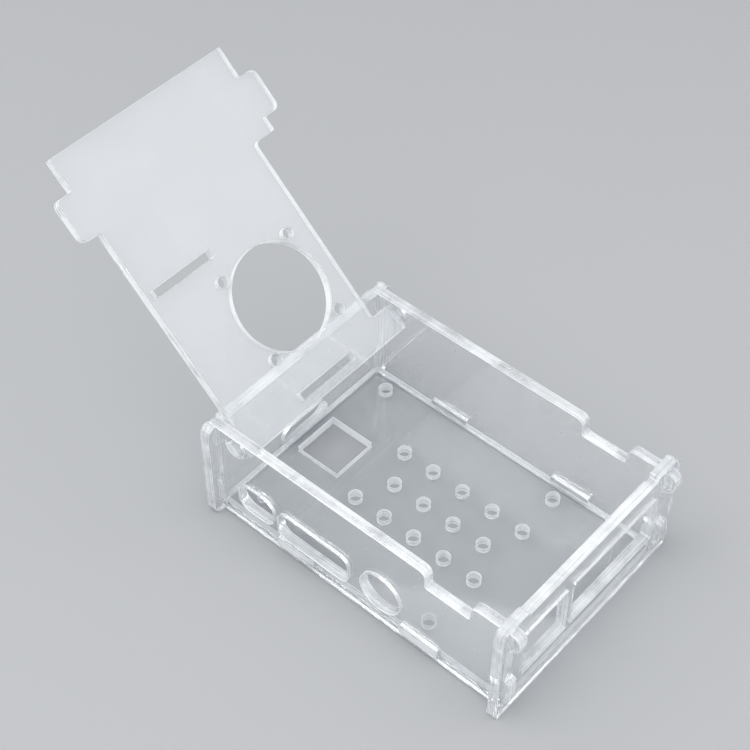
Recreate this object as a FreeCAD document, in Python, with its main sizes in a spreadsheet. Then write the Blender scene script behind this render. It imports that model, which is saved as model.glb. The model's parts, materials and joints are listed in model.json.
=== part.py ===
import FreeCAD, Part
import os
import Sketcher

# A snap-together case for a credit-card sized single board computer: six flat panels cut from
# clear 3 mm sheet. The end panels are windowed for the tabs of the long side panels, the base plate
# hangs on tabs in the side panels, and the lid turns on two ears in round windows.
#
# Frame: X runs from the card end to the jack end, Y from the port side to the header side and Z is
# up. The origin is the centre of the board's hole pattern, on the top face of the base plate. The
# sizes below and all sketches are drawn from the board's corner at the card end and the port side,
# at the level that the case stands on. The lid is shown open, leaning on the card end panel.

# Driving sizes, in millimetres

SIZES = [
    ("sheet", 3.0, "thickness of every panel"),
    ("board_length", 85.0, "board, card end to jack end"),
    ("board_width", 56.0, "board, port side to header side"),
    ("board_top", 9.2, "top face of the board, where its connectors stand"),
    ("card_gap", 4.0, "board edge to the card end panel"),
    ("jack_gap", 2.0, "board edge to the jack end panel"),
    ("side_gap", 1.5, "board edge to each side panel"),
    ("hole_inset", 3.5, "mounting holes in from the board's edges"),
    ("hole_span_x", 58.0, "mounting holes along the board"),
    ("hole_size", 3.6, "mounting hole diameter"),
    ("vent_size", 3.6, "vent hole diameter"),
    ("vent_pitch", 10.0, "vent holes, along the rows and between them"),
    ("vent_start", 22.0, "first vent hole of the outer rows"),
    ("vent_shift", 0.8, "middle row of vent holes off the board's middle"),
    ("card_cut_start", -0.5, "card cut-out in the plate, from the board's edge"),
    ("card_cut_size", 14.0, "card cut-out in the plate, square"),
    ("plate_lift", 2.2, "underside of the base plate"),
    ("plate_tab", 12.0, "tabs of the base plate"),
    ("plate_tab_first", 16.0, "start of the first tab"),
    ("plate_tab_second", 30.0, "start of the second tab, in from the jack end panel"),
    ("plate_corner", 2.0, "corner radius of the base plate"),
    ("side_foot", 0.8, "underside of the side panels"),
    ("side_top", 33.5, "top edge of the side panels"),
    ("card_tab_start", 2.8, "lower tabs at the card end, underside"),
    ("jack_tab_start", 4.8, "lower tabs at the jack end, underside"),
    ("tab_height", 8.4, "lower tabs of the side panels, height"),
    ("hook_start", 26.3, "upper tabs of the side panels, underside"),
    ("hook_reach", 2.6, "upper tabs past the jack end panel"),
    ("tab_reach", 1.0, "lower tabs past the jack end panel"),
    ("hook_round", 2.4, "rounding of the upper tabs, top"),
    ("hook_slope", 3.2, "rounding of the upper tabs, underside"),
    ("end_ear", 2.75, "end panels past the side panels"),
    ("end_round", 2.6, "top corners of the end panels"),
    ("foot_round", 2.4, "outer corner of the card end panel's feet"),
    ("foot_width", 6.0, "feet of the card end panel"),
    ("foot_drop", 1.0, "feet of the card end panel below its edge"),
    ("bridge", 1.8, "jack end panel above the upper tabs"),
    ("hump_reach", 3.7, "raised part of the jack end panel inside each side panel"),
    ("mid_drop", 1.2, "middle of the jack end panel below its raised parts"),
    ("mid_round", 0.55, "rounding of that step"),
    ("jack_height", 16.4, "openings for the network and data jacks"),
    ("jack_rise", 0.6, "those openings above the board's top face"),
    ("jack_round", 0.6, "corners of those openings"),
    ("net_centre", 10.25, "network jack, across the board"),
    ("net_width", 17.4, "opening for the network jack"),
    ("data_centre", 38.0, "pair of data jacks, across the board"),
    ("data_width", 34.4, "opening for the data jacks"),
    ("card_slot_width", 17.4, "slot for the card"),
    ("card_slot_height", 7.0, "slot for the card"),
    ("card_slot_level", 6.0, "centre of the slot for the card"),
    ("power_centre", 8.6, "power port, along the board"),
    ("power_rise", 2.8, "centre of the power port above the board's top face"),
    ("power_width", 12.0, "opening of the power port"),
    ("power_height", 9.0, "opening of the power port"),
    ("power_round", 3.6, "corners of the power port"),
    ("video_centre", 28.0, "video port, along the board"),
    ("video_rise", 1.8, "centre of the video port above the board's top face"),
    ("video_width", 23.4, "opening of the video port"),
    ("video_height", 9.4, "opening of the video port"),
    ("video_round", 2.6, "corners of the video port"),
    ("sound_centre", 50.4, "sound jack, along the board"),
    ("sound_rise", 2.9, "centre of the sound jack above the board's top face"),
    ("sound_size", 12.6, "opening of the sound jack"),
    ("notch_setback", 9.0, "notches for the lid's ears, in from the jack end panel"),
    ("notch_length", 13.4, "notches for the lid's ears"),
    ("notch_round", 2.2, "upper corners of the notches"),
    ("notch_inner", 0.8, "lower corners of the notches"),
    ("pivot_x", 2.4, "hinge axis, along the board"),
    ("pivot_z", 30.0, "hinge axis, height"),
    ("pivot_width", 4.6, "hinge ears, across their length"),
    ("pivot_play", 0.25, "hinge ears in their round windows"),
    ("pivot_proud", 0.6, "hinge ears past the side panels"),
    ("lid_gap", 0.3, "lid to each side panel"),
    ("lid_seat", 0.3, "closed lid above the notch floors"),
    ("lid_end_gap", 0.4, "closed lid to the jack end panel"),
    ("lid_stop_gap", 0.3, "open lid off the card end panel"),
    ("lid_heel", 4.2, "lid behind the hinge axis"),
    ("ear_play", 0.6, "lid's ears in the notches, along the board"),
    ("ear_reach", 2.0, "lid's ears past the side panels"),
    ("ear_round", 2.0, "corners of the lid's ears"),
    ("shoulder", 4.0, "full-width step between ear and recess"),
    ("recess_start", 3.2, "recess over the pin header, from the hinge axis"),
    ("recess_depth", 7.0, "recess over the pin header"),
    ("recess_round", 1.4, "inner corners of the recess"),
    ("lid_round", 0.4, "small corners of the lid"),
    ("fan_centre_x", 25.5, "fan, along the board"),
    ("fan_centre_y", 31.0, "fan, across the board"),
    ("fan_size", 29.0, "fan opening"),
    ("fan_pitch", 24.0, "fan screw holes, square"),
    ("fan_screw", 3.2, "fan screw hole diameter"),
    ("ribbon_width", 2.4, "slots for the flat cables"),
    ("ribbon_length", 19.6, "slots for the flat cables"),
    ("camera_slot_x", 45.2, "camera cable slot, along the board"),
    ("camera_slot_y", 11.2, "camera cable slot, across the board"),
    ("display_slot_x", 1.6, "display cable slot, along the board"),
    ("display_slot_y", 28.8, "display cable slot, across the board"),
]

doc = FreeCAD.newDocument("board_case")
sheet = doc.addObject("Spreadsheet::Sheet", "Sizes")
for row, (name, value, note) in enumerate(SIZES, start=1):
    sheet.set("A%d" % row, name)
    sheet.set("B%d" % row, str(value))
    sheet.set("C%d" % row, note)
    sheet.setAlias("B%d" % row, name)
doc.recompute()


# A length that carries both its value and the expression that binds it to the sheet

class Length:
    def __init__(self, text, value):
        self.text = text
        self.value = value

    def __add__(self, other):
        return Length("(%s + %s)" % (self.text, other.text), self.value + other.value)

    def __sub__(self, other):
        return Length("(%s - %s)" % (self.text, other.text), self.value - other.value)

    def __neg__(self):
        return Length("(0 - %s)" % self.text, -self.value)

    def __mul__(self, factor):
        return Length("(%s * %s)" % (self.text, factor), self.value * factor)


ZERO = Length("0", 0.0)
S = {name: Length("Sizes." + name, value) for name, value, note in SIZES}

# Faces and levels that several panels share

card_inner = -S["card_gap"]
card_outer = card_inner - S["sheet"]
jack_inner = S["board_length"] + S["jack_gap"]
jack_outer = jack_inner + S["sheet"]
port_inner = -S["side_gap"]
port_outer = port_inner - S["sheet"]
header_inner = S["board_width"] + S["side_gap"]
header_outer = header_inner + S["sheet"]
end_low_y = port_outer - S["end_ear"]
end_high_y = header_outer + S["end_ear"]
plate_top = S["plate_lift"] + S["sheet"]
card_tab_end = S["card_tab_start"] + S["tab_height"]
jack_tab_end = S["jack_tab_start"] + S["tab_height"]
notch_floor = S["pivot_z"] - S["sheet"] * 0.5 - S["lid_seat"]
notch_end = jack_inner - S["notch_setback"]
notch_start = notch_end - S["notch_length"]
tab_second = jack_inner - S["plate_tab_second"]
board_middle = S["board_width"] * 0.5
hole_low_y = S["hole_inset"]
hole_high_y = S["board_width"] - S["hole_inset"]
vent_middle = board_middle + S["vent_shift"]
drawn_corner = (
    -(S["hole_inset"] + S["hole_span_x"] * 0.5),
    -board_middle,
    -plate_top,
)
plate_tabs = [
    (S["plate_tab_first"], S["plate_tab_first"] + S["plate_tab"]),
    (tab_second, tab_second + S["plate_tab"]),
]


# Helpers for bodies, sketches and features

def make_body(name, base):
    """A body with its label, placed by three lengths from the board's corner."""
    body = doc.addObject("PartDesign::Body", name)
    body.Label = name
    for axis, length, corner in zip("xyz", base, drawn_corner):
        body.setExpression("Placement.Base." + axis, (corner + length).text)
    return body


def make_sketch(body, name, role):
    """An empty sketch on one of the body's own origin planes."""
    sketch = body.newObject("Sketcher::SketchObject", name)
    plane = [item for item in body.Origin.OriginFeatures if item.Role == role][0]
    sketch.AttachmentSupport = [(plane, "")]
    sketch.MapMode = "FlatFace"
    return sketch


def hold(sketch, constraint, length):
    """Adds a dimension and binds it to the sheet."""
    index = sketch.addConstraint(constraint)
    sketch.setExpression("Constraints[%d]" % index, length.text)


def locate(sketch, geometry, vertex, axis, length):
    """Puts one coordinate of a point at the given length from the sketch's origin."""
    kind = "DistanceX" if axis == "x" else "DistanceY"
    if abs(length.value) < 1e-9 and length.text == "0":
        other = -2 if axis == "x" else -1
        sketch.addConstraint(Sketcher.Constraint("PointOnObject", geometry, vertex, other))
        return
    hold(sketch, Sketcher.Constraint(kind, -1, 1, geometry, vertex, length.value), length)


def outline(sketch, corners):
    """A closed outline of level and upright lines through (x, y, radius) corners, radius None if sharp."""
    count = len(corners)
    points = [FreeCAD.Vector(x.value, y.value, 0) for x, y, radius in corners]
    sizes = [0.0 if radius is None else radius.value for x, y, radius in corners]
    towards = [(points[(i + 1) % count] - points[i]).normalize() for i in range(count)]
    lines = []
    for i in range(count):
        start = points[i] + towards[i] * sizes[i]
        end = points[(i + 1) % count] - towards[i] * sizes[(i + 1) % count]
        lines.append(sketch.addGeometry(Part.LineSegment(start, end), False))
    for i in range(count):
        x, y, radius = corners[i]
        before = lines[i - 1]
        after = lines[i]
        level = abs(towards[i].y) < 1e-9
        sketch.addConstraint(Sketcher.Constraint("Horizontal" if level else "Vertical", after))
        locate(sketch, after, 1, "y" if level else "x", y if level else x)
        if radius is None:
            sketch.addConstraint(Sketcher.Constraint("Coincident", before, 2, after, 1))
            continue
        centre = points[i] + (towards[i] - towards[i - 1]) * sizes[i]
        turn = towards[i - 1].x * towards[i].y - towards[i - 1].y * towards[i].x
        first = (points[i] - towards[i - 1] * sizes[i] - centre)
        last = (points[i] + towards[i] * sizes[i] - centre)
        if turn < 0:
            first, last = last, first
        axis = FreeCAD.Vector(1, 0, 0)
        start_angle = first.getAngle(axis) * (1 if first.y >= 0 else -1)
        end_angle = last.getAngle(axis) * (1 if last.y >= 0 else -1)
        circle = Part.Circle(centre, FreeCAD.Vector(0, 0, 1), sizes[i])
        arc = sketch.addGeometry(Part.ArcOfCircle(circle, start_angle, end_angle), False)
        entry, leave = (1, 2) if turn > 0 else (2, 1)
        sketch.addConstraint(Sketcher.Constraint("Tangent", before, 2, arc, entry))
        sketch.addConstraint(Sketcher.Constraint("Tangent", arc, leave, after, 1))
        hold(sketch, Sketcher.Constraint("Radius", arc, sizes[i]), radius)


def box_outline(sketch, low_x, high_x, low_y, high_y, radius=None):
    """A rectangle, with all four corners rounded if a radius is given."""
    corners = [(low_x, low_y), (high_x, low_y), (high_x, high_y), (low_x, high_y)]
    outline(sketch, [(x, y, radius) for x, y in corners])


def slot_outline(sketch, centre_x, centre_y, width, height):
    """A slot with round ends, its length along the sketch's x axis."""
    reach = (width - height) * 0.5
    left = FreeCAD.Vector((centre_x - reach).value, centre_y.value, 0)
    right = FreeCAD.Vector((centre_x + reach).value, centre_y.value, 0)
    radius = height.value / 2
    up = FreeCAD.Vector(0, radius, 0)
    axis = FreeCAD.Vector(0, 0, 1)
    quarter = 1.5707963267948966
    top = sketch.addGeometry(Part.LineSegment(right + up, left + up), False)
    west = sketch.addGeometry(Part.ArcOfCircle(Part.Circle(left, axis, radius), quarter, 3 * quarter), False)
    base = sketch.addGeometry(Part.LineSegment(left - up, right - up), False)
    east = sketch.addGeometry(Part.ArcOfCircle(Part.Circle(right, axis, radius), -quarter, quarter), False)
    sketch.addConstraint(Sketcher.Constraint("Tangent", top, 2, west, 1))
    sketch.addConstraint(Sketcher.Constraint("Tangent", west, 2, base, 1))
    sketch.addConstraint(Sketcher.Constraint("Tangent", base, 2, east, 1))
    sketch.addConstraint(Sketcher.Constraint("Tangent", east, 2, top, 1))
    sketch.addConstraint(Sketcher.Constraint("Horizontal", top))
    hold(sketch, Sketcher.Constraint("Radius", west, radius), height * 0.5)
    locate(sketch, west, 3, "x", centre_x - reach)
    locate(sketch, east, 3, "x", centre_x + reach)
    locate(sketch, west, 3, "y", centre_y)


def hole_outline(sketch, x, y, diameter):
    """A circle of the given diameter round (x, y)."""
    centre = FreeCAD.Vector(x.value, y.value, 0)
    circle = Part.Circle(centre, FreeCAD.Vector(0, 0, 1), diameter.value / 2)
    index = sketch.addGeometry(circle, False)
    hold(sketch, Sketcher.Constraint("Diameter", index, diameter.value), diameter)
    locate(sketch, index, 3, "x", x)
    locate(sketch, index, 3, "y", y)


def pad_sheet(body, sketch, midplane=False):
    """Pads an outline to the sheet's thickness."""
    pad = body.newObject("PartDesign::Pad", sketch.Name + "_pad")
    pad.Profile = sketch
    pad.SideType = 2 if midplane else 0
    pad.setExpression("Length", "Sizes.sheet")
    sketch.Visibility = False
    doc.recompute()
    body.Tip = pad
    return pad


def cut_through(body, sketch):
    """Pockets a sketch through the whole sheet, both ways from its plane."""
    doc.recompute()
    before = body.Shape.Volume
    pocket = body.newObject("PartDesign::Pocket", sketch.Name + "_cut")
    pocket.Profile = sketch
    pocket.Type = "ThroughAll"
    pocket.SideType = 2
    sketch.Visibility = False
    doc.recompute()
    body.Tip = pocket
    if body.Shape.Volume > before - 1e-3:
        raise RuntimeError("%s cuts nothing from %s" % (sketch.Name, body.Label))
    return pocket


def pattern(body, feature, sketch, axis, steps):
    """Repeats a feature along the sketch's own axis, each step of (pitch, count) on the last one."""
    repeat = body.newObject("PartDesign::LinearPattern", feature.Name + "_row")
    repeat.Originals = [feature]
    repeat.Direction = (sketch, [axis])
    repeat.Mode = "Spacing"
    repeat.setExpression("Offset", steps[0].text)
    repeat.Occurrences = steps[1]
    doc.recompute()
    body.Tip = repeat
    return repeat


# Base plate: hangs on four tabs in the side panels, carries the board and lets air in

base_plate = make_body("base_plate", (ZERO, ZERO, S["plate_lift"]))
sketch = make_sketch(base_plate, "plate_outline", "XY_Plane")
first, second = plate_tabs
corner = S["plate_corner"]
outline(sketch, [
    (card_inner, port_inner, corner),
    (first[0], port_inner, None),
    (first[0], port_outer, None),
    (first[1], port_outer, None),
    (first[1], port_inner, None),
    (second[0], port_inner, None),
    (second[0], port_outer, None),
    (second[1], port_outer, None),
    (second[1], port_inner, None),
    (jack_inner, port_inner, corner),
    (jack_inner, header_inner, corner),
    (second[1], header_inner, None),
    (second[1], header_outer, None),
    (second[0], header_outer, None),
    (second[0], header_inner, None),
    (first[1], header_inner, None),
    (first[1], header_outer, None),
    (first[0], header_outer, None),
    (first[0], header_inner, None),
    (card_inner, header_inner, corner),
])
pad_sheet(base_plate, sketch)

sketch = make_sketch(base_plate, "card_cut_out", "XY_Plane")
half = S["card_cut_size"] * 0.5
cut_end = S["card_cut_start"] + S["card_cut_size"]
box_outline(sketch, S["card_cut_start"], cut_end, board_middle - half, board_middle + half)
cut_through(base_plate, sketch)

sketch = make_sketch(base_plate, "mounting_holes", "XY_Plane")
for x in (S["hole_inset"], S["hole_inset"] + S["hole_span_x"]):
    for y in (hole_low_y, hole_high_y):
        hole_outline(sketch, x, y, S["hole_size"])
cut_through(base_plate, sketch)

outer_vents = make_sketch(base_plate, "vents_outer", "XY_Plane")
for side in (-1, 1):
    hole_outline(outer_vents, S["vent_start"], vent_middle + S["vent_pitch"] * side, S["vent_size"])
feature = cut_through(base_plate, outer_vents)
pattern(base_plate, feature, outer_vents, "H_Axis", (S["vent_pitch"], 5))

inner_vents = make_sketch(base_plate, "vents_inner", "XY_Plane")
hole_outline(inner_vents, S["vent_start"] + S["vent_pitch"] * 0.5, vent_middle, S["vent_size"])
feature = cut_through(base_plate, inner_vents)
pattern(base_plate, feature, inner_vents, "H_Axis", (S["vent_pitch"], 4))


# Side panels: one outline for both, with tabs to the end panels, notches for the lid's ears,
# round windows for the hinge and slots for the base plate

def side_panel(name, face):
    """A side panel whose inner or outer face lies on the plane y = face and grows towards -Y."""
    body = make_body(name, (ZERO, face, ZERO))
    sketch = make_sketch(body, name + "_outline", "XZ_Plane")
    hook_tip = jack_outer + S["hook_reach"]
    tab_tip = jack_outer + S["tab_reach"]
    small = S["notch_inner"]
    outline(sketch, [
        (card_inner, S["side_foot"], small),
        (jack_inner, S["side_foot"], small),
        (jack_inner, S["jack_tab_start"], None),
        (tab_tip, S["jack_tab_start"], small),
        (tab_tip, jack_tab_end, small),
        (jack_inner, jack_tab_end, None),
        (jack_inner, S["hook_start"], None),
        (hook_tip, S["hook_start"], S["hook_slope"]),
        (hook_tip, S["side_top"], S["hook_round"]),
        (notch_end, S["side_top"], S["notch_round"]),
        (notch_end, notch_floor, small),
        (notch_start, notch_floor, small),
        (notch_start, S["side_top"], S["notch_round"]),
        (card_outer, S["side_top"], small),
        (card_outer, S["hook_start"], None),
        (card_inner, S["hook_start"], None),
        (card_inner, card_tab_end, None),
        (card_outer, card_tab_end, None),
        (card_outer, S["card_tab_start"], None),
        (card_inner, S["card_tab_start"], None),
    ])
    pad_sheet(body, sketch)
    sketch = make_sketch(body, name + "_slots", "XZ_Plane")
    for low, high in plate_tabs:
        box_outline(sketch, low, high, S["plate_lift"], plate_top)
    cut_through(body, sketch)
    sketch = make_sketch(body, name + "_hinge", "XZ_Plane")
    ear = S["pivot_width"]
    play = S["pivot_play"] * 2
    bore = Length(
        "(sqrt(%s ^ 2 + %s ^ 2) + %s)" % (ear.text, S["sheet"].text, play.text),
        (ear.value ** 2 + S["sheet"].value ** 2) ** 0.5 + play.value,
    )
    hole_outline(sketch, S["pivot_x"], S["pivot_z"], bore)
    cut_through(body, sketch)
    return body


header_side_panel = side_panel("header_side_panel", header_outer)
port_side_panel = side_panel("port_side_panel", port_inner)

# Ports of the near side: power, video and sound

sketch = make_sketch(port_side_panel, "flat_ports", "XZ_Plane")
for port in ("power", "video"):
    centre = S[port + "_centre"]
    level = S["board_top"] + S[port + "_rise"]
    half = S[port + "_width"] * 0.5
    rise = S[port + "_height"] * 0.5
    box_outline(sketch, centre - half, centre + half, level - rise, level + rise, S[port + "_round"])
cut_through(port_side_panel, sketch)

sketch = make_sketch(port_side_panel, "sound_port", "XZ_Plane")
hole_outline(sketch, S["sound_centre"], S["board_top"] + S["sound_rise"], S["sound_size"])
cut_through(port_side_panel, sketch)

# Card end panel: stands on two feet, is slotted from above for the upper tabs, and its top edge
# is the stop of the open lid

card_end_panel = make_body("card_end_panel", (card_outer, ZERO, ZERO))
sketch = make_sketch(card_end_panel, "card_end_outline", "YZ_Plane")
foot = S["foot_width"]
drop = S["foot_drop"]
bend = S["foot_drop"] * 0.45
outline(sketch, [
    (end_low_y, ZERO, S["foot_round"]),
    (end_low_y + foot, ZERO, bend),
    (end_low_y + foot, drop, bend),
    (end_high_y - foot, drop, bend),
    (end_high_y - foot, ZERO, bend),
    (end_high_y, ZERO, S["foot_round"]),
    (end_high_y, S["side_top"], S["end_round"]),
    (header_outer, S["side_top"], None),
    (header_outer, S["hook_start"], None),
    (header_inner, S["hook_start"], None),
    (header_inner, S["side_top"], None),
    (port_inner, S["side_top"], None),
    (port_inner, S["hook_start"], None),
    (port_outer, S["hook_start"], None),
    (port_outer, S["side_top"], None),
    (end_low_y, S["side_top"], S["end_round"]),
])
pad_sheet(card_end_panel, sketch)

sketch = make_sketch(card_end_panel, "card_end_windows", "YZ_Plane")
box_outline(sketch, port_outer, port_inner, S["card_tab_start"], card_tab_end)
box_outline(sketch, header_inner, header_outer, S["card_tab_start"], card_tab_end)
cut_through(card_end_panel, sketch)

sketch = make_sketch(card_end_panel, "card_slot", "YZ_Plane")
slot_outline(sketch, board_middle, S["card_slot_level"], S["card_slot_width"], S["card_slot_height"])
cut_through(card_end_panel, sketch)

# Jack end panel: bridges over the upper tabs and opens for the network and data jacks

jack_end_panel = make_body("jack_end_panel", (jack_inner, ZERO, ZERO))
sketch = make_sketch(jack_end_panel, "jack_end_outline", "YZ_Plane")
hump_top = S["side_top"] + S["bridge"]
mid_top = hump_top - S["mid_drop"]
port_hump = port_inner + S["hump_reach"]
header_hump = header_inner - S["hump_reach"]
soft = S["mid_round"]
outline(sketch, [
    (end_low_y, ZERO, S["notch_inner"]),
    (end_high_y, ZERO, S["notch_inner"]),
    (end_high_y, hump_top, S["end_round"]),
    (header_hump, hump_top, soft),
    (header_hump, mid_top, soft),
    (port_hump, mid_top, soft),
    (port_hump, hump_top, soft),
    (end_low_y, hump_top, S["end_round"]),
])
pad_sheet(jack_end_panel, sketch)

sketch = make_sketch(jack_end_panel, "jack_end_windows", "YZ_Plane")
for low, high in ((port_outer, port_inner), (header_inner, header_outer)):
    box_outline(sketch, low, high, S["jack_tab_start"], jack_tab_end)
    box_outline(sketch, low, high, S["hook_start"], S["side_top"])
cut_through(jack_end_panel, sketch)

sketch = make_sketch(jack_end_panel, "jack_openings", "YZ_Plane")
low = S["board_top"] + S["jack_rise"]
for jack in ("net", "data"):
    centre = S[jack + "_centre"]
    half = S[jack + "_width"] * 0.5
    box_outline(sketch, centre - half, centre + half, low, low + S["jack_height"], S["jack_round"])
cut_through(jack_end_panel, sketch)

# Lid: drawn closed with the hinge axis as its origin, then swung open until it leans on the card
# end panel. Two hinge ears turn in the round windows and two wide ears drop into the notches.

lid = make_body("hinged_lid", (S["pivot_x"], ZERO, S["pivot_z"]))
sketch = make_sketch(lid, "lid_outline", "XY_Plane")
lid_low_y = port_inner + S["lid_gap"]
lid_high_y = header_inner - S["lid_gap"]
heel = -S["lid_heel"]
toe = jack_inner - S["lid_end_gap"] - S["pivot_x"]
hinge_half = S["pivot_width"] * 0.5
hinge_low_y = port_outer - S["pivot_proud"]
hinge_high_y = header_outer + S["pivot_proud"]
ear_start = notch_start + S["ear_play"] - S["pivot_x"]
ear_end = notch_end - S["ear_play"] - S["pivot_x"]
ear_low_y = port_outer - S["ear_reach"]
ear_high_y = header_outer + S["ear_reach"]
recess_end = ear_start - S["shoulder"]
recess_y = lid_high_y - S["recess_depth"]
fine = S["lid_round"]
ear = S["ear_round"]
inner = S["recess_round"]
outline(sketch, [
    (heel, lid_low_y, fine),
    (-hinge_half, lid_low_y, None),
    (-hinge_half, hinge_low_y, fine),
    (hinge_half, hinge_low_y, fine),
    (hinge_half, lid_low_y, None),
    (ear_start, lid_low_y, None),
    (ear_start, ear_low_y, ear),
    (ear_end, ear_low_y, ear),
    (ear_end, lid_low_y, fine),
    (toe, lid_low_y, fine),
    (toe, lid_high_y, fine),
    (ear_end, lid_high_y, fine),
    (ear_end, ear_high_y, ear),
    (ear_start, ear_high_y, ear),
    (ear_start, lid_high_y, fine),
    (recess_end, lid_high_y, fine),
    (recess_end, recess_y, inner),
    (S["recess_start"], recess_y, inner),
    (S["recess_start"], lid_high_y, None),
    (hinge_half, lid_high_y, None),
    (hinge_half, hinge_high_y, fine),
    (-hinge_half, hinge_high_y, fine),
    (-hinge_half, lid_high_y, None),
    (heel, lid_high_y, fine),
])
pad_sheet(lid, sketch, midplane=True)

sketch = make_sketch(lid, "fan_opening", "XY_Plane")
fan_x = S["fan_centre_x"] - S["pivot_x"]
hole_outline(sketch, fan_x, S["fan_centre_y"], S["fan_size"])
cut_through(lid, sketch)

sketch = make_sketch(lid, "fan_screws", "XY_Plane")
reach = S["fan_pitch"] * 0.5
for x in (fan_x - reach, fan_x + reach):
    for y in (S["fan_centre_y"] - reach, S["fan_centre_y"] + reach):
        hole_outline(sketch, x, y, S["fan_screw"])
cut_through(lid, sketch)

sketch = make_sketch(lid, "ribbon_slots", "XY_Plane")
across = S["ribbon_width"] * 0.5
along = S["ribbon_length"] * 0.5
for cable in ("camera", "display"):
    x = S[cable + "_slot_x"] - S["pivot_x"]
    y = S[cable + "_slot_y"]
    box_outline(sketch, x - across, x + across, y - along, y + along, fine)
cut_through(lid, sketch)

# The open angle follows from the hinge axis, the top edge of the card end panel and the stop gap

run = S["pivot_x"] - card_inner
climb = S["side_top"] - S["pivot_z"]
offset = S["sheet"] * 0.5 + S["lid_stop_gap"]
rise_angle = "atan(%s / %s)" % (climb.text, run.text)
sheet_angle = "asin(%s / sqrt(%s ^ 2 + %s ^ 2))" % (offset.text, run.text, climb.text)
lid.Placement.Rotation = FreeCAD.Rotation(FreeCAD.Vector(0, -1, 0), 90)
lid.setExpression("Placement.Rotation.Angle", "180 deg - %s - %s" % (rise_angle, sheet_angle))
doc.recompute()

# Checks and export

panels = [base_plate, port_side_panel, header_side_panel, card_end_panel, jack_end_panel, lid]
for item in doc.Objects:
    if "Invalid" in item.State or "Error" in item.State:
        raise RuntimeError("%s: %s" % (item.Label, item.State))
os.makedirs("parts", exist_ok=True)
for panel in panels:
    shape = panel.Shape
    if shape.isNull() or not shape.isValid() or len(shape.Solids) != 1:
        raise RuntimeError("%s is not one sound solid" % panel.Label)
    shape.exportStep("parts/%s.step" % panel.Label)
    print(panel.Label, round(shape.Volume, 1), shape.BoundBox)
print("lid open by", lid.Placement.Rotation.Angle * 57.29577951308232, "degrees")
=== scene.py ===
import json
import math

import bmesh
import bpy
import numpy as np
from mathutils import Matrix, Vector


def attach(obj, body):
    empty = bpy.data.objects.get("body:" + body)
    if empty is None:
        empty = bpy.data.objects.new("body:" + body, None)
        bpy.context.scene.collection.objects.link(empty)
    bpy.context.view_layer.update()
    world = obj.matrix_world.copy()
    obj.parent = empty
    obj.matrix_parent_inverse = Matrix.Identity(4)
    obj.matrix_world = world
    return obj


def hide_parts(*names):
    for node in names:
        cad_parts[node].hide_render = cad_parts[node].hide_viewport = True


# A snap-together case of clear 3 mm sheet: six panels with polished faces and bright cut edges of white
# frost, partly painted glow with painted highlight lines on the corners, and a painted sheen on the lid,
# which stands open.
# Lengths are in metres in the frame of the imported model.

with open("model.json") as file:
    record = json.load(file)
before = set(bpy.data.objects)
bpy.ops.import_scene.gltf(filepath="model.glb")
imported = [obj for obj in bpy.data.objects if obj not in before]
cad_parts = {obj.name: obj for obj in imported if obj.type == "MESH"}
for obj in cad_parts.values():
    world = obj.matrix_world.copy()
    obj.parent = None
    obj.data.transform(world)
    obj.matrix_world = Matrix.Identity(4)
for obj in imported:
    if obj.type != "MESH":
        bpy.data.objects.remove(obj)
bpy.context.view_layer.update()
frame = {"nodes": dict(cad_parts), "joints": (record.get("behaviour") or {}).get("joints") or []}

# Sheet shape

AIR_GAP = 0.00002
BEVEL = 0.0003
BEVEL_STEPS = 2
SHARP_ANGLE = math.radians(28)
MERGE_DISTANCE = 1e-6
FLAT_ANGLE = 0.002
PARALLEL_LIMIT = 0.02
FACE_SHARE = 0.9
FACE_SLOT = 0
WALL_SLOT = 1
RIM_SLOT = 2

# Sheet look

SHEET_IOR = 1.49
FACE_COLOUR = (0.975, 0.985, 0.99, 1.0)
EDGE_COLOUR = (0.96, 0.975, 0.985, 1.0)
HAZE_AND_SHEEN_COLOUR = (0.93, 0.95, 0.97, 1.0)
FACE_LIGHT = (0.925, 0.935, 0.94, 1.0)
EDGE_LIGHT = (0.42, 0.44, 0.47, 1.0)
PLAIN_HAZE = 0.006
# The lid's white veil is a painted sheen: the softbox reflection on the lid, painted into its surface.
LID_PAINTED_SHEEN = 0.17
GRAIN_SCALE = 2600.0
WIPE_SCALE = 38.0
SPECK_SCALE = 1300.0
SPECK_SHARE = 0.35
HAIRLINE_STRETCH = (22.0, 2400.0, 22.0)
HAIRLINE_SOFTNESS = 0.04
HAIRLINE_ROUGHNESS = 0.1
HAIRLINE_DEPTH = 0.00001
FACE_ROUGHNESS = (0.01, 0.045)
# The corner rims are fully white frost, which paints a highlight line along each corner.
RIM_FROST_AND_PAINTED_HIGHLIGHT = 1.0
# The edge walls' white frost is partly real frost and partly painted glow, the light carried inside the
# sheet; fully white on the vent bores and the lid's edges.
WALL_FROST_AND_PAINTED_GLOW = 0.36
LID_FROST_AND_PAINTED_GLOW = 1.0
PLATE_FROST_AND_PAINTED_GLOW = 1.0
EDGE_ROUGHNESS = (0.08, 0.24)
EDGE_UNEVENNESS = (0.45, 1.55)
EDGE_GLOW = 0.4
CLOUD_SCALE = 150.0
BAND_DEPTH = 0.00003
ALONG = 25.0
ACROSS = 1500.0

# Camera, measured on the photograph

CAMERA_AZIMUTH = math.radians(40.84)
CAMERA_ELEVATION = math.radians(48.17)
CAMERA_ROLL = math.radians(0.25)
CAMERA_DISTANCE = 0.4875
CAMERA_TARGET = Vector((-0.0375, 0.0297, -0.0052))
FOCAL_PIXELS = 1720.0
IMAGE_PIXELS = 750.0
SENSOR_WIDTH = 36.0

# Stage

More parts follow.
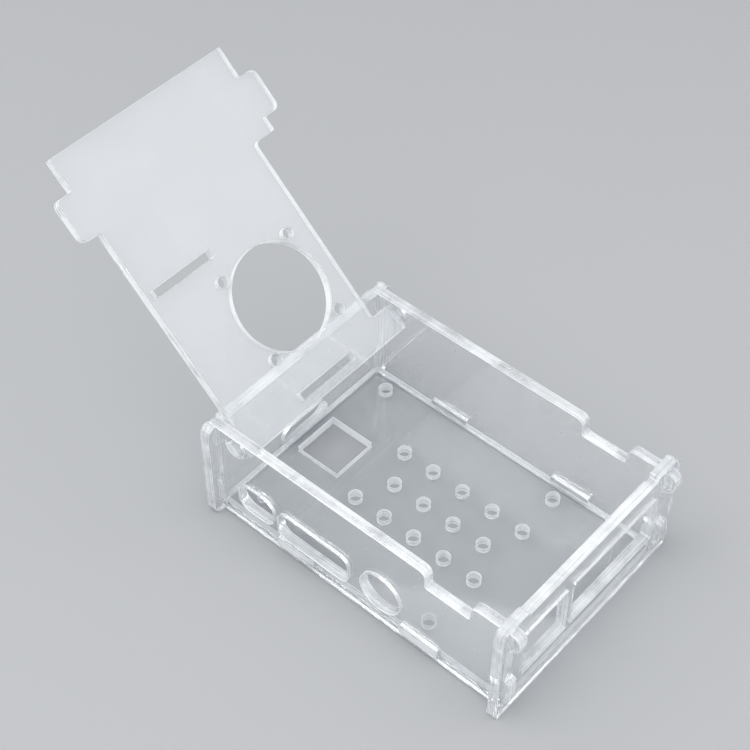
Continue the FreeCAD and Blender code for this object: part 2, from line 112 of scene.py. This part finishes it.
FLOOR_LEVEL = -0.0052
FLOOR_SIZE = 6.0
FLOOR_COLOUR = (0.285, 0.29, 0.298, 1.0)
FLOOR_ROUGHNESS = (0.5, 0.6)
FLOOR_PATCH_SCALE = 30.0
FLOOR_SPECULAR = 0.2
CASE_MIDDLE = (0.0, 0.0, 0.02)
LID_MIDDLE = (-0.06, 0.0, 0.052)
WORLD_COLOUR = (0.86, 0.9, 0.95, 1.0)
WORLD_STRENGTH = 0.32
BACKDROP_STRENGTH = 0.55


# Node helpers

class Graph:
    """The node tree of one material, built a node at a time."""

    def __init__(self, name):
        self.material = bpy.data.materials.new(name)
        self.material.use_nodes = True
        self.tree = self.material.node_tree
        self.tree.nodes.clear()

    def add(self, kind, settings=None, **inputs):
        """A new node. Each input is a value or the output socket that feeds it."""
        node = self.tree.nodes.new("ShaderNode" + kind)
        for key, value in (settings or {}).items():
            setattr(node, key, value)
        for key, value in inputs.items():
            socket = node.inputs[key.replace("_", " ")]
            self.feed(socket, value)
        return node

    def feed(self, socket, value):
        """Links an output socket to an input, or sets the input's value."""
        if isinstance(value, bpy.types.NodeSocket):
            self.tree.links.new(value, socket)
        else:
            socket.default_value = value

    def place(self, scale, turn=(0.0, 0.0, 0.0)):
        """The piece's own coordinates, turned and then scaled per axis."""
        source = self.add("TexCoord").outputs["Object"]
        turned = self.add("Mapping", Vector=source, Rotation=turn).outputs["Vector"]
        return self.add("Mapping", Vector=turned, Scale=scale).outputs["Vector"]

    def noise(self, vector, scale, detail=2.0):
        """A noise value from 0 to 1."""
        return self.add("TexNoise", Vector=vector, Scale=scale, Detail=detail).outputs["Fac"]

    def ramp(self, value, low, high, start=0.0, end=1.0):
        """A value mapped from low..high to start..end and held there."""
        node = self.add("MapRange", {"clamp": True}, Value=value)
        node.inputs["From Min"].default_value = low
        node.inputs["From Max"].default_value = high
        node.inputs["To Min"].default_value = start
        node.inputs["To Max"].default_value = end
        return node.outputs["Result"]

    def math(self, operation, first, second):
        """One arithmetic step on two values."""
        node = self.add("Math", {"operation": operation})
        self.feed(node.inputs[0], first)
        self.feed(node.inputs[1], second)
        return node.outputs["Value"]

    def mix(self, share, first, second):
        """Two shaders, the second one by the given share."""
        node = self.add("MixShader")
        self.feed(node.inputs[0], share)
        self.feed(node.inputs[1], first)
        self.feed(node.inputs[2], second)
        return node.outputs["Shader"]

    def output(self, shader):
        """Sets the surface and returns the material."""
        self.add("OutputMaterial", Surface=shader)
        return self.material


# Materials

def lets_light_by(graph, surface, colour):
    """Shows the surface to the eye and to reflections, and a plain filter to lamps and soft light."""
    through = graph.add("BsdfTransparent", Color=colour).outputs["BSDF"]
    path = graph.add("LightPath")
    soft = graph.math("MAXIMUM", path.outputs["Is Shadow Ray"], path.outputs["Is Diffuse Ray"])
    return graph.mix(soft, surface, through)


def hairlines(graph, turn, threshold):
    """Fine scratches in one direction, 1 on a line and 0 elsewhere."""
    streaks = graph.place(HAIRLINE_STRETCH, turn)
    return graph.ramp(graph.noise(streaks, 1.0, 1.0), threshold, threshold + HAIRLINE_SOFTNESS)


def clear_sheet(graph, colour, rough, normal):
    """The clear sheet itself, which mirrors and refracts."""
    sheet = graph.add("BsdfPrincipled", Base_Color=colour, Roughness=rough, IOR=SHEET_IOR, Normal=normal)
    sheet.inputs["Transmission Weight"].default_value = 1.0
    return sheet.outputs["BSDF"]


def scratch_normal(graph, lines):
    """The surface direction with the hairlines cut into it."""
    bump = graph.add("Bump", {"invert": True}, Height=lines, Strength=0.1, Distance=HAIRLINE_DEPTH)
    return bump.outputs["Normal"]


def veil_of_haze_and_sheen(graph):
    """A white film that scatters light to both sides: faint haze on the plain faces, and on the lid a
    painted sheen.
    """
    milk = graph.add("BsdfDiffuse", Color=HAZE_AND_SHEEN_COLOUR).outputs["BSDF"]
    glow = graph.add("BsdfTranslucent", Color=HAZE_AND_SHEEN_COLOUR).outputs["BSDF"]
    return graph.mix(0.5, milk, glow)


def face_material(name, haze_and_sheen, turn):
    """Clear polished sheet: nearly smooth, with faint hairlines, wipe marks and a little dust; its white
    veil is faint haze, and on the lid a painted sheen.
    """
    graph = Graph(name)
    plain = graph.place((1.0, 1.0, 1.0), turn)
    grain = graph.noise(plain, GRAIN_SCALE, 2.0)
    wiped = graph.noise(plain, WIPE_SCALE, 3.0)
    first = hairlines(graph, (0.3, 0.2, 0.5), 0.72)
    second = hairlines(graph, (1.1, 0.7, 1.9), 0.73)
    lines = graph.math("MAXIMUM", first, second)
    smear = graph.ramp(wiped, 0.35, 0.7, *FACE_ROUGHNESS)
    rough = graph.math("ADD", smear, graph.math("MULTIPLY", lines, HAIRLINE_ROUGHNESS))
    clear = clear_sheet(graph, FACE_COLOUR, rough, scratch_normal(graph, lines))
    grainy = graph.ramp(grain, 0.3, 0.7, 0.94, 1.06)
    patchy = graph.ramp(wiped, 0.3, 0.7, 0.8, 1.2)
    # The white veil's share: faint haze on the plain faces, a painted sheen on the lid.
    share = graph.math("MULTIPLY", graph.math("MULTIPLY", grainy, patchy), haze_and_sheen)
    specks = graph.ramp(graph.noise(plain, SPECK_SCALE, 0.0), 0.82, 0.85, 0.0, SPECK_SHARE)
    share = graph.math("MAXIMUM", share, specks)
    sheet = graph.mix(share, clear, veil_of_haze_and_sheen(graph))
    return graph.output(lets_light_by(graph, sheet, FACE_LIGHT))


def edge_material(name, frost_and_painted_light, stretch, turn):
    """Cut edge: part clear, part white frost, in faint bands that run along the edge. The white frost is
    partly real and partly painted light: glow on the walls, a highlight line on the rims.
    """
    graph = Graph(name)
    bands = graph.noise(graph.place(stretch, turn), 1.0, 2.0)
    cloud = graph.noise(graph.place((1.0, 1.0, 1.0), turn), CLOUD_SCALE, 3.0)
    rough = graph.ramp(bands, 0.3, 0.7, *EDGE_ROUGHNESS)
    bump = graph.add("Bump", Height=bands, Strength=0.2, Distance=BAND_DEPTH).outputs["Normal"]
    clear = clear_sheet(graph, EDGE_COLOUR, rough, bump)
    frost = graph.add("BsdfPrincipled", Base_Color=EDGE_COLOUR, Roughness=rough, IOR=SHEET_IOR, Normal=bump)
    glow = graph.add("BsdfTranslucent", Color=EDGE_COLOUR).outputs["BSDF"]
    white = graph.mix(EDGE_GLOW, frost.outputs["BSDF"], glow)
    uneven = graph.ramp(graph.math("ADD", cloud, bands), 0.75, 1.25, *EDGE_UNEVENNESS)
    # The white share, partly real frost and partly painted light: glow on the walls, a highlight line on
    # the rims.
    edge = graph.mix(graph.math("MULTIPLY", uneven, frost_and_painted_light), clear, white)
    return graph.output(lets_light_by(graph, edge, EDGE_LIGHT))


# Panels

def sheet_normal(mesh):
    """The direction square to the sheet, read from its largest face."""
    return max(mesh.faces, key=lambda face: face.calc_area()).normal.copy()


def move_inward(mesh, distance):
    """Draws every face in by the same small distance, so that touching panels keep air between them."""
    moves = []
    for vertex in mesh.verts:
        normals = np.array([face.normal for face in vertex.link_faces])
        wanted = np.full(len(normals), -distance)
        step, _, _, _ = np.linalg.lstsq(normals, wanted, rcond=PARALLEL_LIMIT)
        moves.append(Vector(step))
    for vertex, step in zip(mesh.verts, moves):
        vertex.co += step


def is_sharp(edge):
    """Whether two faces meet here at a corner."""
    return len(edge.link_faces) == 2 and edge.calc_face_angle() > SHARP_ANGLE


def clean_copy(node):
    """The piece's CAD mesh, copied, with one polygon for each flat face."""
    mesh = bmesh.new()
    mesh.from_mesh(frame["nodes"][node].data)
    bmesh.ops.remove_doubles(mesh, verts=mesh.verts, dist=MERGE_DISTANCE)
    bmesh.ops.dissolve_limit(mesh, angle_limit=FLAT_ANGLE, verts=mesh.verts, edges=mesh.edges)
    return mesh


def soften_edges(mesh):
    """Rounds every sharp edge a little, in the rim material, whose white frost paints a highlight line
    along each corner.
    """
    corners = [item for item in mesh.edges if is_sharp(item)]
    bmesh.ops.bevel(
        mesh,
        geom=corners,
        offset=BEVEL,
        offset_type="OFFSET",
        segments=BEVEL_STEPS,
        profile=0.5,
        affect="EDGES",
        clamp_overlap=True,
        material=RIM_SLOT,
    )
    for item in mesh.faces:
        item.smooth = True
    for item in mesh.edges:
        item.smooth = not is_sharp(item)


def sheet_panel(node, body, face, wall, rim):
    """One panel of clear sheet, built on its CAD shape with softened edges."""
    mesh = clean_copy(node)
    normal = sheet_normal(mesh)
    move_inward(mesh, AIR_GAP)
    for item in mesh.faces:
        is_face = abs(item.normal.dot(normal)) > FACE_SHARE
        item.material_index = FACE_SLOT if is_face else WALL_SLOT
    soften_edges(mesh)
    data = bpy.data.meshes.new(node + "_sheet")
    mesh.to_mesh(data)
    mesh.free()
    for material in (face, wall, rim):
        data.materials.append(material)
    panel = bpy.data.objects.new(node + "_sheet", data)
    bpy.context.scene.collection.objects.link(panel)
    shading = panel.modifiers.new("flat_faces", "WEIGHTED_NORMAL")
    shading.mode = "FACE_AREA"
    shading.weight = 50
    shading.keep_sharp = True
    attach(panel, body)
    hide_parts(node)


def build_panels():
    """All six panels. The bands of each cut edge run along the edge, so they change across the sheet."""
    level = (0.0, 0.0, 0.0)
    joint = frame["joints"][0]
    # The lid stands open in its own coordinates. Turned by the hinge's range, its marks follow it.
    lid_turn = (0.0, math.radians(max(joint["range_deg"])), 0.0)
    clear = face_material("clear_sheet", PLAIN_HAZE, level)
    lid_face = face_material("clear_sheet_lid", LID_PAINTED_SHEEN, lid_turn)
    # The corner rims: white frost that paints a highlight line along each corner.
    rim = edge_material("edge_rim", RIM_FROST_AND_PAINTED_HIGHLIGHT, (ALONG, ALONG, ALONG), level)
    # The edge walls: white frost that is partly real and partly painted glow.
    end_wall = edge_material("edge_end", WALL_FROST_AND_PAINTED_GLOW, (ACROSS, ALONG, ALONG), level)
    side_wall = edge_material("edge_side", WALL_FROST_AND_PAINTED_GLOW, (ALONG, ACROSS, ALONG), level)
    plate_wall = edge_material("edge_plate", PLATE_FROST_AND_PAINTED_GLOW, (ALONG, ALONG, ACROSS), level)
    lid_wall = edge_material("edge_lid", LID_FROST_AND_PAINTED_GLOW, (ALONG, ALONG, ACROSS), lid_turn)
    sheet_panel("base_plate", "case", clear, plate_wall, rim)
    sheet_panel("port_side_panel", "case", clear, side_wall, rim)
    sheet_panel("header_side_panel", "case", clear, side_wall, rim)
    sheet_panel("card_end_panel", "case", clear, end_wall, rim)
    sheet_panel("jack_end_panel", "case", clear, end_wall, rim)
    sheet_panel("hinged_lid", "lid", lid_face, lid_wall, rim)


# Stage: plain pale floor, soft light and the camera of the photograph

def build_floor():
    """A pale, nearly matt floor."""
    half = FLOOR_SIZE / 2
    corners = [(-half, -half, 0), (half, -half, 0), (half, half, 0), (-half, half, 0)]
    data = bpy.data.meshes.new("floor")
    data.from_pydata(corners, [], [(0, 1, 2, 3)])
    floor = bpy.data.objects.new("floor", data)
    floor.location = (0.0, 0.0, FLOOR_LEVEL)
    bpy.context.scene.collection.objects.link(floor)
    graph = Graph("pale_floor")
    plain = graph.place((1.0, 1.0, 1.0))
    patches = graph.noise(plain, FLOOR_PATCH_SCALE, 3.0)
    rough = graph.ramp(patches, 0.3, 0.7, *FLOOR_ROUGHNESS)
    surface = graph.add("BsdfPrincipled", Base_Color=FLOOR_COLOUR, Roughness=rough)
    surface.inputs["Specular IOR Level"].default_value = FLOOR_SPECULAR
    data.materials.append(graph.output(surface.outputs["BSDF"]))


def add_softbox(name, direction, distance, size, power, aim=CASE_MIDDLE):
    """A square softbox in the given direction from its aim, facing it."""
    light = bpy.data.lights.new(name, "AREA")
    light.shape = "SQUARE"
    light.size = size
    light.energy = power
    box = bpy.data.objects.new(name, light)
    way = Vector(direction).normalized()
    box.location = Vector(aim) + way * distance
    box.rotation_euler = way.to_track_quat("Z", "Y").to_euler()
    bpy.context.scene.collection.objects.link(box)


def build_world():
    """A pale surround that is seen, mirrored and seen through glass brighter than it lights."""
    world = bpy.data.worlds.new("studio")
    world.use_nodes = True
    tree = world.node_tree
    background = tree.nodes["Background"]
    background.inputs["Color"].default_value = WORLD_COLOUR
    path = tree.nodes.new("ShaderNodeLightPath")
    seen = path.outputs["Is Camera Ray"]
    for kind in ("Is Glossy Ray", "Is Transmission Ray"):
        either = tree.nodes.new("ShaderNodeMath")
        either.operation = "MAXIMUM"
        tree.links.new(seen, either.inputs[0])
        tree.links.new(path.outputs[kind], either.inputs[1])
        seen = either.outputs["Value"]
    strength = tree.nodes.new("ShaderNodeMapRange")
    strength.inputs["To Min"].default_value = WORLD_STRENGTH
    strength.inputs["To Max"].default_value = BACKDROP_STRENGTH
    tree.links.new(seen, strength.inputs["Value"])
    tree.links.new(strength.outputs["Result"], background.inputs["Strength"])
    bpy.context.scene.world = world


def build_light():
    """Four softboxes: overhead, mirrored in the lid, front and left."""
    add_softbox("overhead", (-0.15, -0.1, 1.0), distance=1.1, size=1.5, power=10.4)
    mirrored = (0.711, 0.505, 0.488)
    add_softbox("lid_mirror", mirrored, distance=0.65, size=0.66, power=1.7, aim=LID_MIDDLE)
    add_softbox("front", (0.42, -0.57, 1.1), distance=1.5, size=2.0, power=26.5)
    add_softbox("left", (-0.75, -0.6, 0.8), distance=1.3, size=1.4, power=10.5)


def build_camera():
    """The camera at the photograph's angle, roll and lens."""
    azimuth = CAMERA_AZIMUTH
    elevation = CAMERA_ELEVATION
    back = Vector((
        math.sin(azimuth) * math.cos(elevation),
        -math.cos(azimuth) * math.cos(elevation),
        math.sin(elevation),
    ))
    right = Vector((math.cos(azimuth), math.sin(azimuth), 0.0))
    up = back.cross(right)
    rolled_right = right * math.cos(CAMERA_ROLL) + up * math.sin(CAMERA_ROLL)
    rolled_up = back.cross(rolled_right)
    data = bpy.data.cameras.new("camera")
    data.sensor_width = SENSOR_WIDTH
    data.lens = FOCAL_PIXELS / IMAGE_PIXELS * SENSOR_WIDTH
    data.clip_start = 0.01
    camera = bpy.data.objects.new("camera", data)
    turn = Matrix((rolled_right, rolled_up, back)).transposed()
    camera.matrix_world = Matrix.Translation(CAMERA_TARGET + back * CAMERA_DISTANCE) @ turn.to_4x4()
    bpy.context.scene.collection.objects.link(camera)
    bpy.context.scene.camera = camera


def set_light_paths():
    """Enough bounces for light to cross all panels."""
    cycles = bpy.context.scene.cycles
    cycles.max_bounces = 24
    cycles.transmission_bounces = 24
    cycles.glossy_bounces = 10
    cycles.transparent_max_bounces = 40


build_panels()
build_floor()
build_world()
build_light()
build_camera()
set_light_paths()
bpy.context.scene.view_settings.view_transform = "Standard"
